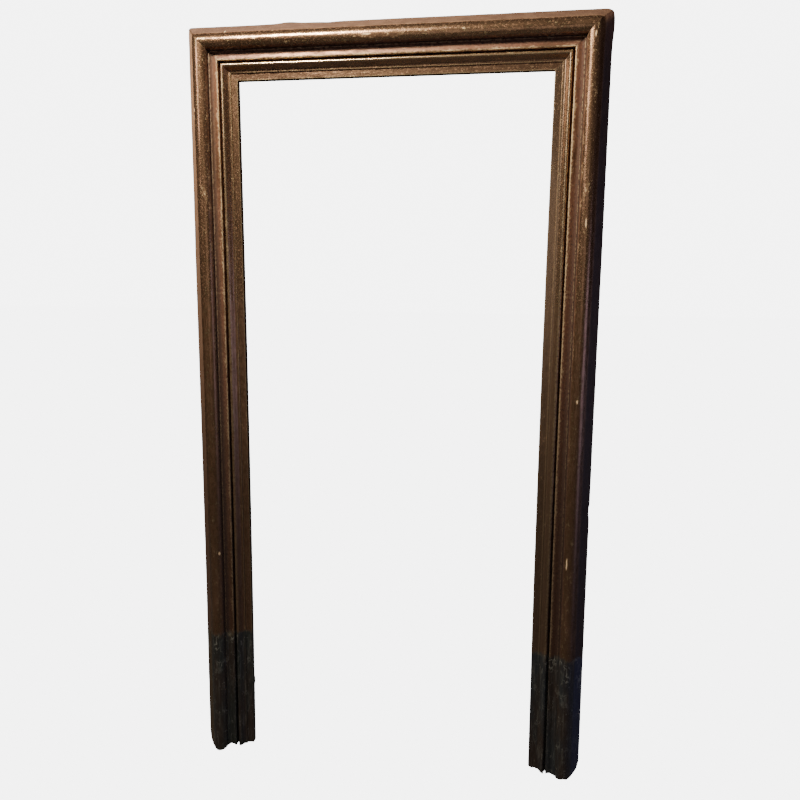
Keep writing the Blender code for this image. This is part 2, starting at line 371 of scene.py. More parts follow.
@dataclass
class MouldedBar:
    """One length of the moulding, run by hand and worn."""

    name: str
    node: str
    slot: str
    finish: GildedFinish
    corners: tuple[Corner, ...]
    blemishes: tuple[Blemish, ...] = ()
    flecks: tuple[PaleFleck, ...] = ()
    seed: float = 1.0
    section: Section = field(default_factory=Section)
    reach: MaskReach = field(default_factory=MaskReach)
    opening_width: float = 0.900
    opening_height: float = 2.123
    mitre_gap: float = 0.0003
    fan: float = 0.350
    cuts: int = 23
    cut_rounds: int = 2
    wobble: float = 0.0006
    tool_ripple: float = 0.00022
    edge_chip: float = 0.0006
    chip_range: Range = (0.25, 0.75)
    hip_reach: float = 0.026
    hip_fade: float = 0.012
    wall_fade: float = 0.003
    smooth_angle: float = math.radians(50.0)

    @property
    def top_z(self) -> float:
        """Top of the head."""
        return self.section.width / 2.0

    @property
    def soffit_z(self) -> float:
        """Underside of the head."""
        return -self.section.width / 2.0

    @property
    def floor_z(self) -> float:
        """The floor under the feet."""
        return self.soffit_z - self.opening_height

    def span(self) -> Point:
        """Run of the inner edge, from its start to its end."""
        raise NotImplementedError

    def ends(self, across: np.ndarray, out: np.ndarray) -> tuple[np.ndarray, np.ndarray]:
        """How far each line of the moulding starts and ends beyond the inner edge."""
        raise NotImplementedError

    def place(self, across: np.ndarray, out: np.ndarray, run: np.ndarray) -> np.ndarray:
        """Puts points of the moulding in the doorway's frame."""
        raise NotImplementedError

    def joint_distance(self, across: np.ndarray, run: np.ndarray) -> np.ndarray:
        """How far each point is from its nearest mitre."""
        raise NotImplementedError

    def _blank(self, facts: OutlineFacts) -> bpy.types.Object:
        """Makes the plain bar: the section run along its length and cut across.

        Args:
            facts: The measured outline.

        Returns:
            The bar, its section in its XY plane and its run along Z from 0 to 1.
        """
        count = len(facts.points)
        bpy.ops.object.select_all(action="DESELECT")
        bpy.ops.mesh.primitive_circle_add(vertices=count, radius=self.section.width, fill_type="NGON")
        bar = bpy.context.object
        bar.name = self.name
        bar.data.name = self.name
        flat = np.zeros((count, 3))
        flat[:, :2] = facts.points
        bar.data.vertices.foreach_set("co", flat.ravel())
        bpy.ops.object.mode_set(mode="EDIT")
        bpy.ops.mesh.select_all(action="SELECT")
        bpy.ops.mesh.extrude_region_move(TRANSFORM_OT_translate={"value": (0.0, 0.0, 1.0)})
        for _ in range(self.cut_rounds):
            self._select_lengthwise_edges(bar)
            bpy.ops.mesh.subdivide(number_cuts=self.cuts)
        bpy.ops.mesh.select_all(action="SELECT")
        bpy.ops.mesh.normals_make_consistent(inside=False)
        bpy.ops.object.mode_set(mode="OBJECT")
        return bar

    @staticmethod
    def _select_lengthwise_edges(bar: bpy.types.Object) -> None:
        """Selects the edges that run along the bar, in edit mode.

        Args:
            bar: The bar being edited.
        """
        bpy.ops.mesh.select_mode(type="EDGE")
        bpy.ops.mesh.select_all(action="DESELECT")
        bpy.ops.object.mode_set(mode="OBJECT")
        mesh = bar.data
        ends = np.zeros(len(mesh.edges) * 2, np.int64)
        mesh.edges.foreach_get("vertices", ends)
        co = np.zeros(len(mesh.vertices) * 3)
        mesh.vertices.foreach_get("co", co)
        z = co.reshape(-1, 3)[:, 2][ends.reshape(-1, 2)]
        mesh.edges.foreach_set("select", np.abs(z[:, 0] - z[:, 1]) > LEVEL)
        bpy.ops.object.mode_set(mode="EDIT")

    @staticmethod
    def _outline_index(co: np.ndarray, facts: OutlineFacts, batch: int = 4096) -> np.ndarray:
        """Finds which outline point each vertex came from.

        Args:
            co: Vertex places on the plain bar.
            facts: The measured outline.
            batch: How many vertices are compared at once.

        Returns:
            The outline point's number for each vertex.
        """
        index = np.zeros(len(co), int)
        for start in range(0, len(co), batch):
            part = co[start : start + batch, None, :2] - facts.points[None]
            index[start : start + batch] = (part**2).sum(2).argmin(1)
        return index

    def _relief(self, facts: OutlineFacts, index: np.ndarray, run: np.ndarray) -> np.ndarray:
        """How far the worn surface stands off the drawn section.

        Args:
            facts: The measured outline.
            index: Outline point of each vertex.
            run: Place of each vertex along the moulding.

        Returns:
            The distance along the outward normal for each vertex.
        """
        across, out = facts.points[index].T
        spots = np.stack([facts.girth[index], run, np.zeros_like(run)], axis=1)
        relief = self.wobble * WOBBLE.over(spots, self.seed)
        relief += self.tool_ripple * TOOL_MARKS.over(spots, self.seed)
        relief -= self.edge_chip * facts.arris[index] * ramp(CHIPS.over(spots, self.seed), *self.chip_range)
        near_joint = ramp(self.joint_distance(across, run), self.hip_reach, 0.0) ** 2
        past_round = ramp(across, self.section.bevel_start - self.hip_fade, self.section.bevel_start)
        relief -= self.hip_wear(run) * near_joint * past_round
        for blemish in self.blemishes:
            reach = ((across - blemish.across) / blemish.half_across) ** 2
            reach += ((run - blemish.run) / blemish.half_run) ** 2
            relief -= blemish.depth * np.exp(-reach)
        return relief * ramp(out, 0.0, self.wall_fade)

    def hip_wear(self, run: np.ndarray) -> np.ndarray:
        """How deep the outer corner's hip is rubbed down, at each place along the moulding."""
        return np.full_like(run, self.corners[0].hip_wear)

    def _wear_corner(self, co: np.ndarray, corner: Corner) -> None:
        """Planes the outer side and rounds the outer top corner, in place.

        Args:
            co: Vertex places.
            corner: The corner's side and wear.
        """
        side = corner.side.value
        outer = self.opening_width / 2.0 + self.section.width
        x = co[:, 0] * side
        above = ramp(co[:, 2], self.top_z - corner.taper_reach, self.top_z)
        x = np.minimum(x, np.where(above > 0.0, outer - corner.taper * above, np.inf))
        middle_x, middle_z = outer - corner.taper - corner.wear, self.top_z - corner.wear
        dx, dz = x - middle_x, co[:, 2] - middle_z
        reach = np.hypot(dx, dz)
        beyond = (dx > 0.0) & (dz > 0.0) & (reach > corner.wear)
        pull = corner.wear / np.maximum(reach, corner.wear)
        co[:, 0] = side * np.where(beyond, middle_x + dx * pull, x)
        co[:, 2] = np.where(beyond, middle_z + dz * pull, co[:, 2])

    @staticmethod
    def _write_map(mesh: bpy.types.Mesh, facts: OutlineFacts, index: np.ndarray, run: np.ndarray) -> None:
        """Stores the girth-and-run map as the mesh's only UV map.

        Args:
            mesh: The bar's mesh.
            facts: The measured outline.
            index: Outline point of each vertex.
            run: Place of each vertex along the moulding.
        """
        loops = np.zeros(len(mesh.loops), np.int64)
        mesh.loops.foreach_get("vertex_index", loops)
        starts = np.zeros(len(mesh.polygons), np.int64)
        mesh.polygons.foreach_get("loop_start", starts)
        totals = np.zeros(len(mesh.polygons), np.int64)
        mesh.polygons.foreach_get("loop_total", totals)
        of_loop = index[loops]
        low = np.minimum.reduceat(of_loop, starts)
        high = np.maximum.reduceat(of_loop, starts)
        half = len(facts.points) // 2
        wraps = np.repeat((high - low > half) & (totals < half), totals) & (of_loop < half)
        uv = np.zeros((len(loops), 2), np.float32)
        uv[:, 0] = facts.girth[of_loop] + np.where(wraps, facts.whole_girth, 0.0)
        uv[:, 1] = run[loops]
        for old in list(mesh.uv_layers):
            mesh.uv_layers.remove(old)
        mesh.uv_layers.new(name=GIRTH_MAP).data.foreach_set("uv", uv.ravel())

    def _masks(self, facts: OutlineFacts, index: np.ndarray, run: np.ndarray) -> dict[str, np.ndarray]:
        """Works out the wear masks and the mask of painted shade in the hollow.

        Args:
            facts: The measured outline.
            index: Outline point of each vertex.
            run: Place of each vertex along the moulding.

        Returns:
            A value from 0 to 1 for each vertex, by the mask's name.
        """
        section, reach = self.section, self.reach
        across, out = facts.points[index].T
        past_bead = section.ogee_end + section.bead_radius
        inner = ramp(across, past_bead, past_bead - reach.inner)
        middle = (1.0 - inner) * ramp(across, section.torus_start + reach.torus, section.torus_start)
        # Painted shade on the upper part of the hollow, next to the listel.
        hollow_shade_mask = ramp(across, *(section.listel_start - before for before in reach.hollow_shade_before))
        hollow_shade_mask *= ramp(across, section.torus_start + reach.hollow_shade_after, section.torus_start)
        flaked = np.zeros_like(run)
        for fleck in self.flecks:
            away = ((across - fleck.across) / fleck.half_across) ** 2
            away += ((run - fleck.run) / fleck.half_run) ** 2
            spot = np.clip(reach.fleck_core - away, 0.0, 1.0) * (out > reach.fleck_lowest)
            flaked = np.maximum(flaked, spot)
        return {
            ARRIS: facts.arris[index],
            RECESS: facts.recess[index],
            OUTER: ramp(across, section.bevel_start, section.bevel_start + reach.bevel),
            JOINT: ramp(self.joint_distance(across, run), reach.joint, 0.0),
            INNER: inner,
            MIDDLE: middle,
            FLAKED: flaked,
            HOLLOW_SHADE: hollow_shade_mask,
            BACK: np.where(out < reach.back, 1.0, 0.0),
        }

    def build(self) -> bpy.types.Object:
        """Builds the bar and dresses it.

        Returns:
            The finished piece.
        """
        facts = OutlineFacts.measure(self.section.outline())
        bar = self._blank(facts)
        mesh = bar.data
        co = np.zeros(len(mesh.vertices) * 3)
        mesh.vertices.foreach_get("co", co)
        co = co.reshape(-1, 3)
        index = self._outline_index(co, facts)
        across, out = facts.points[index].T
        start, end = self.span()
        even = start + co[:, 2] * (end - start)
        before, after = self.ends(across, out)
        near_start = np.clip(1.0 - (even - start) / self.fan, 0.0, 1.0)
        near_end = np.clip(1.0 - (end - even) / self.fan, 0.0, 1.0)
        run = even + before * near_start + after * near_end
        relief = self._relief(facts, index, run)
        placed = self.place(across, out, run)
        for corner in self.corners:
            self._wear_corner(placed, corner)
        lean, rise = facts.normal[index].T
        still = np.zeros_like(run)
        placed += self.place(relief * lean, relief * rise, still) - self.place(still, still, still)
        placed[:, 1] = np.minimum(placed[:, 1], 0.0)
        placed = self.settle(placed, across)
        self._write_map(mesh, facts, index, run)
        for title, values in self._masks(facts, index, run).items():
            attribute = mesh.attributes.new(title, "FLOAT", "POINT")
            attribute.data.foreach_set("value", values.astype(np.float32))
        mesh.vertices.foreach_set("co", placed.ravel())
        mesh.update()
        bpy.ops.object.mode_set(mode="EDIT")
        bpy.ops.mesh.select_all(action="SELECT")
        bpy.ops.mesh.normals_make_consistent(inside=False)
        bpy.ops.object.mode_set(mode="OBJECT")
        bpy.ops.object.shade_smooth_by_angle(angle=self.smooth_angle)
        mesh.materials.clear()
        mesh.materials.append(self.finish.material())
        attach(bar, "root")
        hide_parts(self.node)
        log.info("%s: %d faces", self.name, len(mesh.polygons))
        return bar

    def settle(self, placed: np.ndarray, across: np.ndarray) -> np.ndarray:
        """Last change of place, for a bar that has warped."""
        return placed


@dataclass
class Jamb(MouldedBar):
    """An upright, mitred at the top and broken at the foot."""

    side: Side = Side.LEFT
    bow: float = 0.0025
    inner_spread: float = 0.0045
    outer_spread: float = 0.012
    broken_foot: tuple[Point, ...] = ()
    rise_to_wall: float = 0.006
    splinter: float = 0.0005

    def span(self) -> Point:
        """Run of the inner edge, from the floor to the head."""
        return 0.0, self.opening_height

    def ends(self, across: np.ndarray, out: np.ndarray) -> tuple[np.ndarray, np.ndarray]:
        """Splintered foot below, mitre above.

        Args:
            across: Place across the face.
            out: Height out from the wall.

        Returns:
            The foot's height over the floor, and how far the mitre reaches past the inner corner.
        """
        shares, heights = np.array(self.broken_foot).T
        foot = np.interp(across / self.section.width, shares, heights)
        foot = foot + self.rise_to_wall * (1.0 - out / self.section.depth)
        spots = np.stack([across, out, np.zeros_like(out)], axis=1)
        foot = foot + self.splinter * SPLINTERS.over(spots, self.seed)
        return np.maximum(foot, 0.0), across - self.mitre_gap * MITRE_SHARE

    def joint_distance(self, across: np.ndarray, run: np.ndarray) -> np.ndarray:
        """How far each point is from the mitre."""
        return np.abs(self.opening_height + across - run)

    def place(self, across: np.ndarray, out: np.ndarray, run: np.ndarray) -> np.ndarray:
        """Stands the bar up beside the doorway.

        Args:
            across: Place across the face.
            out: Height out from the wall.
            run: Height over the floor.

        Returns:
            The points in the doorway's frame.
        """
        x = self.side.value * (self.opening_width / 2.0 + across)
        return np.stack([x, -out, self.floor_z + run], axis=1)

    def settle(self, placed: np.ndarray, across: np.ndarray) -> np.ndarray:
        """Bows the jamb towards the doorway and spreads its foot.

        Args:
            placed: Vertex places.
            across: Place across the face.

        Returns:
            The warped places.
        """
        down = np.clip((self.soffit_z - placed[:, 2]) / self.opening_height, 0.0, None)
        share = across / self.section.width
        spread = self.inner_spread + (self.outer_spread - self.inner_spread) * share
        bow = self.bow * (1.0 - share) * np.sin(math.pi * np.clip(down, 0.0, 1.0))
        placed[:, 0] += self.side.value * (spread * down**2 - bow)
        return placed


@dataclass
class Head(MouldedBar):
    """The cross piece, mitred at both ends."""

    def span(self) -> Point:
        """Run of the inner edge, between the two jambs."""
        return self.section.width, self.section.width + self.opening_width

    def ends(self, across: np.ndarray, out: np.ndarray) -> tuple[np.ndarray, np.ndarray]:
        """A mitre at each end.

        Args:
            across: Place across the face.
            out: Height out from the wall.

        Returns:
            How far the two mitres reach past the inner corners.
        """
        reach = across - self.mitre_gap * MITRE_SHARE
        return -reach, reach

    def hip_wear(self, run: np.ndarray) -> np.ndarray:
        """How deep the nearer corner's hip is rubbed down, at each place along the head."""
        left, right = self.corners
        return np.where(run < self.section.width + self.opening_width / 2.0, left.hip_wear, right.hip_wear)

    def joint_distance(self, across: np.ndarray, run: np.ndarray) -> np.ndarray:
        """How far each point is from the nearer mitre."""
        left = np.abs(run - self.section.width + across)
        right = np.abs(run - self.section.width - self.opening_width - across)
        return np.minimum(left, right)

    def place(self, across: np.ndarray, out: np.ndarray, run: np.ndarray) -> np.ndarray:
        """Lays the bar over the doorway.

        Args:
            across: Place across the face.
            out: Height out from the wall.
            run: Distance from the outer left corner.

        Returns:
            The points in the doorway's frame.
        """
        start = self.opening_width / 2.0 + self.section.width
        return np.stack([run - start, -out, self.soffit_z + across], axis=1)


class Bench:
    """A node tree with short ways to add and wire its nodes."""

    def __init__(self, tree: bpy.types.NodeTree) -> None:
        """Keeps the tree that the nodes go into."""
        self.tree = tree

    def add(self, kind: str, **settings: object) -> bpy.types.Node:
        """Adds a node.

        Args:
            kind: The node's type.
            settings: Its properties by name.

        Returns:
            The new node.
        """
        node = self.tree.nodes.new(kind)
        for key, value in settings.items():
            setattr(node, key, value)
        return node

    def feed(self, socket: bpy.types.NodeSocket, value: object) -> None:
        """Links an output to a socket, or sets the socket's own value."""
        if isinstance(value, bpy.types.NodeSocket):
            self.tree.links.new(value, socket)
        else:
            socket.default_value = value

    def math(self, operation: str, a: object, b: object = 0.0, clamp: bool = False) -> bpy.types.NodeSocket:
        """Arithmetic on two values."""
        node = self.add("ShaderNodeMath", operation=operation, use_clamp=clamp)
        self.feed(node.inputs[0], a)
        self.feed(node.inputs[1], b)
        return node.outputs[0]

    def scaled(self, vector: object, scale: tuple[float, float, float]) -> bpy.types.NodeSocket:
        """A vector times a scale, each axis by itself."""
        node = self.add("ShaderNodeVectorMath", operation="MULTIPLY")
        self.feed(node.inputs[0], vector)
        self.feed(node.inputs[1], scale)
        return node.outputs[0]

    def total(self, terms: Iterable[tuple[object, float]], clamp: bool = False) -> bpy.types.NodeSocket:
        """Adds values up, none of them below nothing, each by its own weight.

        Args:
            terms: The values and their weights.
            clamp: Whether the sum stops at 1.

        Returns:
            The sum.
        """
        first, *rest = [self.math("MULTIPLY", value, weight) for value, weight in terms]
        for part in rest:
            first = self.math("ADD", first, part, clamp=clamp)
        return first

    def noise(self, vector: object, scale: Triple, detail: float, rough: float = 0.6) -> bpy.types.NodeSocket:
        """Noise over a vector, from 0 to 1, its scale set for each axis."""
        node = self.add("ShaderNodeTexNoise")
        self.feed(node.inputs["Vector"], self.scaled(vector, scale))
        node.inputs["Scale"].default_value = 1.0
        node.inputs["Detail"].default_value = detail
        node.inputs["Roughness"].default_value = rough
        return node.outputs["Fac"]

    def span(
        self, value: object, low: object, high: object, to_low: float = 0.0, to_high: float = 1.0
    ) -> bpy.types.NodeSocket:
        """A value's place between two bounds, clamped, on a new range."""
        node = self.add("ShaderNodeMapRange", interpolation_type="SMOOTHSTEP")
        self.feed(node.inputs["Value"], value)
        self.feed(node.inputs["From Min"], low)
        self.feed(node.inputs["From Max"], high)
        node.inputs["To Min"].default_value = to_low
        node.inputs["To Max"].default_value = to_high
        return node.outputs["Result"]

    def blend(self, share: object, a: object, b: object, cover: float = 1.0) -> bpy.types.NodeSocket:
        """The colour b laid over the colour a by a share, times how well it covers."""
        node = self.add("ShaderNodeMix", data_type="RGBA", clamp_factor=True)
        self.feed(node.inputs[0], share if cover == 1.0 else self.math("MULTIPLY", share, cover))
        self.feed(node.inputs[6], a)
        self.feed(node.inputs[7], b)
        return node.outputs[2]

    def mask(self, title: str) -> bpy.types.NodeSocket:
        """A wear mask stored on the piece."""
        return self.add("ShaderNodeAttribute", attribute_name=title).outputs["Fac"]


def new_group(name: str, inputs: dict[str, str], outputs: dict[str, str]) -> tuple[bpy.types.NodeTree, Bench]:
    """Starts a shader node group.

    Args:
        name: The group's name.
        inputs: Socket type for each input name.
        outputs: Socket type for each output name.

    Returns:
        The group and a bench on it.
    """
    tree = bpy.data.node_groups.new(name, "ShaderNodeTree")
    for direction, sockets in (("INPUT", inputs), ("OUTPUT", outputs)):
        for title, kind in sockets.items():
            tree.interface.new_socket(name=title, in_out=direction, socket_type=kind)
    return tree, Bench(tree)


VALUE = "NodeSocketFloat"
VECTOR = "NodeSocketVector"

# Each layer of the grain: its scale across, along and through, its detail, and its part in the relief.
GRAIN = (
    ("Broad", (14.0, 2.6, 1.0), 4.0, 0.0),
    ("Patch", (62.0, 24.0, 1.0), 4.0, 0.7),
    ("Streak", (190.0, 15.0, 1.0), 4.0, 0.2),
    ("Fleck", (240.0, 125.0, 1.0), 2.0, 0.24),
    ("Fine", (900.0, 90.0, 1.0), 3.0, 0.05),
)
CRACK_BEND_SCALE = (60.0, 40.0, 1.0)
CRACK_BEND = (1.6, 1.6, 0.0)
CRACK_SCALE = (46.0, 24.0, 1.0)
CRACK_PLACES = (34.0, 18.0, 1.0)
CRACK_RANGE = (0.46, 0.62)


def once(name: str, make: Callable[[str], bpy.types.NodeTree]) -> bpy.types.NodeTree:
    """A node group by name, made when it is first wanted."""
    return bpy.data.node_groups.get(name) or make(name)


def make_grain(name: str) -> bpy.types.NodeTree:
    """Long streaks that follow the run, with short flecks between them.

    Args:
        name: The group's name.

    Returns:
        The group.
    """
    shown = ("Broad", "Patch", "Streak", "Fleck", "Height")
    tree, bench = new_group(name, {"Map": VECTOR}, {title: VALUE for title in shown})
    source = bench.add("NodeGroupInput").outputs["Map"]
    made = {title: bench.noise(source, scale, detail) for title, scale, detail, _ in GRAIN}
    made["Height"] = bench.total((made[title], relief) for title, _, _, relief in GRAIN)
    end = bench.add("NodeGroupOutput")
    for title in shown:
        bench.feed(end.inputs[title], made[title])
    return tree


def make_crackle(name: str) -> bpy.types.NodeTree:
    """Fine pale scratches that cross and branch, thick in some places and gone in others.

    Args:
        name: The group's name.

    Returns:
        The group.
    """
    tree, bench = new_group(name, {"Map": VECTOR, "Thickness": VALUE}, {"Mask": VALUE})
    source = bench.add("NodeGroupInput")
    place = source.outputs["Map"]
    bent = bench.add("ShaderNodeTexNoise")
    bench.feed(bent.inputs["Vector"], bench.scaled(place, CRACK_BEND_SCALE))
    bent.inputs["Scale"].default_value = 1.0
    shift = bench.add("ShaderNodeVectorMath", operation="ADD")
    bench.feed(shift.inputs[0], bench.scaled(place, CRACK_SCALE))
    bench.feed(shift.inputs[1], bench.scaled(bent.outputs["Color"], CRACK_BEND))
    cell = bench.add("ShaderNodeTexVoronoi", feature="DISTANCE_TO_EDGE")
    bench.feed(cell.inputs["Vector"], shift.outputs[0])
    cell.inputs["Scale"].default_value = 1.0
    line = bench.span(cell.outputs["Distance"], source.outputs["Thickness"], 0.0)
    some = bench.span(bench.noise(place, CRACK_PLACES, 2.0, 0.5), *CRACK_RANGE)
    end = bench.add("NodeGroupOutput")
    bench.feed(end.inputs["Mask"], bench.math("MULTIPLY", line, some))
    return tree


@dataclass(frozen=True)
class FootFinish:
    """Bare, blackened wood at a foot, under the ragged lower edge of the gilding."""

    top: float
    outer: Colour
    ragged: float = 0.026
    wood: Colour = (0.042, 0.029, 0.024, 1.0)
    tint: Colour = (0.027, 0.031, 0.031, 1.0)
    scratch: Colour = (0.40, 0.42, 0.38, 1.0)
    rim: Colour = (0.16, 0.13, 0.08, 1.0)
    scratch_thickness: float = 0.07
    scratch_reach: float = 0.150
    scratch_fade: float = 0.25
    scratch_cover: float = 0.55
    roughness: float = 0.50
    ragged_scale: Triple = (22.0, 12.0, 1.0)
    softness: float = 0.008
    rim_reach: Range = (0.016, 0.002)
    rim_patches: Range = (0.46, 0.62)
    rim_cover: float = 0.7
    tint_patches: Range = (0.38, 0.58)
    outer_cover: float = 0.85
    chalk: Range = (0.50, 0.72)
    chalk_cover: float = 0.16
    speck: Range = (1.18, 1.36)
    speck_cover: float = 0.5


@dataclass(frozen=True)
class Wear:
    """How strongly the wear, the dirt and the painted shade show. A range is where a mask starts and where it
    is full.

    The three mixes weigh streak, patch and fleck; broad, patch and fleck; and arris, patch and fleck.
    """

    worn_mix: Triple = (0.14, 0.44, 0.42)
    bare_mix: Triple = (0.6, 0.4, 0.3)
    rub_mix: Triple = (0.30, 0.5, 0.6)
    toned: Range = (0.43, 0.59)
    toned_middle: float = 0.70
    left_end_shade_run: Range = (0.15, 0.55)
    bare: Range = (0.68, 0.86)
    bare_cover: float = 0.75
    rubbed: Range = (0.58, 0.82)
    rubbed_cover: float = 0.75
    bevel_cover: float = 0.80
    # Recess darkening: partly dirt, partly painted shade.
    recess_dirt_and_shade: float = 0.85
    joint_dirt: float = 0.4
    worn_dirt: Range = (0.56, 0.68)
    worn_dirt_most: float = 0.40
    # Painted shade over the nose and hollow, dimming their highlight.
    middle_painted_shade: float = 0.22
    # Painted shade on the hollow's upper part.
    hollow_shade_weight: float = 0.50
    pit_dirt: Range = (0.45, 0.32)
    pit_dirt_most: float = 0.60
    dirt_and_shade_cover: float = 0.85
    bare_dull: float = 0.6
    dirt_and_shade_dull: float = 0.8
    lower_shade_dull: float = 0.5
    timber: Range = (0.36, 0.64)
    roughness: Range = (0.25, 0.64)
    middle_roughness: float = 0.10
    metal: Range = (0.92, 0.10)
    bump_strength: float = 0.60
    bump_distance: float = 0.0014


@dataclass(frozen=True)
class GildedFinish:
    """Toned gold leaf over a red-brown ground, rubbed on the arrises, with dirt and painted shade in the
    hollows and painted shade where the light falls off.
    """

    name: str
    leaf: Colour = (0.66, 0.385, 0.235, 1.0)
    toned: Colour = (0.26, 0.125, 0.068, 1.0)
    rubbed: Colour = (1.00, 0.76, 0.45, 1.0)
    ground: Colour = (0.26, 0.095, 0.055, 1.0)
    # Near-black that the dirt and the painted shade darken towards.
    glaze_and_shade: Colour = (0.026, 0.014, 0.011, 1.0)
    bevel: Colour = (0.36, 0.210, 0.140, 1.0)
    bevel_lit_top: Colour = (0.36, 0.210, 0.140, 1.0)
    inner: Colour = (0.46, 0.29, 0.185, 1.0)
    gesso: Colour = (1.0, 0.74, 0.46, 1.0)
    back_pale: Colour = (0.26, 0.165, 0.095, 1.0)
    back_dark: Colour = (0.13, 0.078, 0.044, 1.0)
    inner_share: float = 0.4
    ground_share: float = 0.10
    # How much darker the piece grows towards its foot: partly dirt, partly painted shade for the light
    # falling off down the jambs.
    lower_dirt_and_shade: float = 0.71
    lower_shade_start: float = 2.10
    lower_shade_full: float = 0.75
    # Painted shade: how much darker the leaf is at the start of the run.
    left_end_shade: float = 0.0
    bevel_lit_turn: Range = (2.10, 2.26)
    foot: FootFinish | None = None
    wear: Wear = Wear()

    def material(self) -> bpy.types.Material:
        """Builds the material.

        Returns:
            The material, all of it from the piece's own map and masks.
        """
        material = bpy.data.materials.new(self.name)
        material.use_nodes = True
        bench = Bench(material.node_tree)
        surface = material.node_tree.nodes["Principled BSDF"]
        look = self.wear
        place = bench.add("ShaderNodeUVMap", uv_map=GIRTH_MAP).outputs["UV"]
        grain = bench.add("ShaderNodeGroup", node_tree=once("grain_and_streaks", make_grain))
        bench.feed(grain.inputs["Map"], place)
        broad, patch, streak, fleck = (grain.outputs[title] for title, *_ in GRAIN[:4])
        arris, recess, outer, joint = (bench.mask(title) for title in (ARRIS, RECESS, OUTER, JOINT))
        inner, middle, flaked, back = (bench.mask(title) for title in (INNER, MIDDLE, FLAKED, BACK))
        split = bench.add("ShaderNodeSeparateXYZ")
        bench.feed(split.inputs[0], place)
        run = split.outputs[1]
        worn = bench.total(zip((streak, patch, fleck), look.worn_mix))
        # Painted shade: the leaf toned darker towards the start of the run, where the head's highlight falls
        # off.
        start = bench.span(run, *look.left_end_shade_run, self.left_end_shade, 0.0)
        dark = [(bench.span(worn, *look.toned), 1.0), (middle, look.toned_middle), (start, 1.0)]
        colour = bench.blend(bench.total(dark, clamp=True), self.leaf, self.toned)
        colour = bench.blend(inner, colour, self.inner, self.inner_share)
        bare = bench.total(zip((broad, patch, fleck, middle), (*look.bare_mix, self.ground_share)))
        bare = bench.span(bare, *look.bare)
        colour = bench.blend(bare, colour, self.ground, look.bare_cover)
        rub = bench.span(bench.total(zip((arris, patch, fleck), look.rub_mix)), *look.rubbed)
        colour = bench.blend(rub, colour, self.rubbed, look.rubbed_cover)
        # The outer bevel's colour, turning lighter near the top of a jamb where the two colours differ:
        # painted light near the lamp.
        bevel = bench.blend(bench.span(run, *self.bevel_lit_turn), self.bevel, self.bevel_lit_top)
        colour = bench.blend(outer, colour, bevel, look.bevel_cover)
        # Darkening towards the glaze: real dirt at the joints, in the wear and in pits; dirt and painted
        # shade in the recesses; painted shade on the nose, the hollow and the hollow's upper part.
        dirt_and_shade = [(recess, look.recess_dirt_and_shade), (joint, look.joint_dirt), (middle, look.middle_painted_shade)]
        dirt_and_shade += [(bench.mask(HOLLOW_SHADE), look.hollow_shade_weight)]
        dirt_and_shade += [(bench.span(worn, *look.worn_dirt), look.worn_dirt_most)]
        dirt_and_shade += [(bench.span(fleck, *look.pit_dirt), look.pit_dirt_most)]
        dirt_and_shade = bench.total(dirt_and_shade, clamp=True)
        colour = bench.blend(dirt_and_shade, colour, self.glaze_and_shade, look.dirt_and_shade_cover)
        # Darker towards the feet: partly dirt, partly painted shade for the light falling off down the jambs.
        lower_dirt_and_shade = bench.span(run, self.lower_shade_start, self.lower_shade_full, 0.0, self.lower_dirt_and_shade)
        colour = bench.blend(lower_dirt_and_shade, colour, self.glaze_and_shade)
        dull = [(bare, look.bare_dull), (dirt_and_shade, look.dirt_and_shade_dull), (lower_dirt_and_shade, look.lower_shade_dull)]
        dull = bench.total(dull + [(mask, 1.0) for mask in (back, outer, flaked)], clamp=True)
        timber = bench.blend(bench.span(streak, *look.timber), self.back_pale, self.back_dark)
        colour = bench.blend(back, colour, timber)
        rough = bench.span(dull, 0.0, 1.0, *look.roughness)
        rough = bench.total([(rough, 1.0), (middle, look.middle_roughness)])
        metal = bench.span(dull, 0.0, 1.0, *look.metal)
        colour = bench.blend(flaked, colour, self.gesso)
        if self.foot:
            colour, rough, metal = self._bare_foot(bench, place, run, grain, colour, rough, metal)
        bench.feed(surface.inputs["Base Color"], colour)
        bench.feed(surface.inputs["Roughness"], rough)
        bench.feed(surface.inputs["Metallic"], metal)
        bump = bench.add("ShaderNodeBump")
        bump.inputs["Strength"].default_value = look.bump_strength
        bump.inputs["Distance"].default_value = look.bump_distance
        bench.feed(bump.inputs["Height"], grain.outputs["Height"])
        bench.feed(surface.inputs["Normal"], bump.outputs["Normal"])
        return material

    def _bare_foot(
        self,
        bench: Bench,
        place: bpy.types.NodeSocket,
        run: bpy.types.NodeSocket,
        grain: bpy.types.Node,
        colour: bpy.types.NodeSocket,
        rough: bpy.types.NodeSocket,
        metal: bpy.types.NodeSocket,
    ) -> tuple[bpy.types.NodeSocket, bpy.types.NodeSocket, bpy.types.NodeSocket]:
        """Lays the bare wood of a foot under the gilding's ragged edge.

        Args:
            bench: The material's bench.
            place: The girth-and-run map.
            run: The map's run, which on a jamb is the height over the floor.
            grain: The grain group.
            colour: Colour of the gilding.
            rough: Its roughness.
            metal: Its metallic share.

        Returns:
            The three with the foot laid in.
        """
        foot = self.foot
        ragged = bench.noise(place, foot.ragged_scale, 5.0, 0.65)
        edge = bench.math("ADD", run, bench.math("MULTIPLY", ragged, 2.0 * foot.ragged))
        edge = bench.math("SUBTRACT", edge, foot.ragged)
        below = bench.span(edge, foot.top + foot.softness, foot.top - foot.softness)
        rim = bench.span(edge, *(foot.top - reach for reach in foot.rim_reach))
        rim = bench.math("MULTIPLY", rim, below)
        rim = bench.math("MULTIPLY", rim, bench.span(grain.outputs["Patch"], *foot.rim_patches))
        tint = bench.blend(bench.span(grain.outputs["Broad"], *foot.tint_patches), foot.wood, foot.tint)
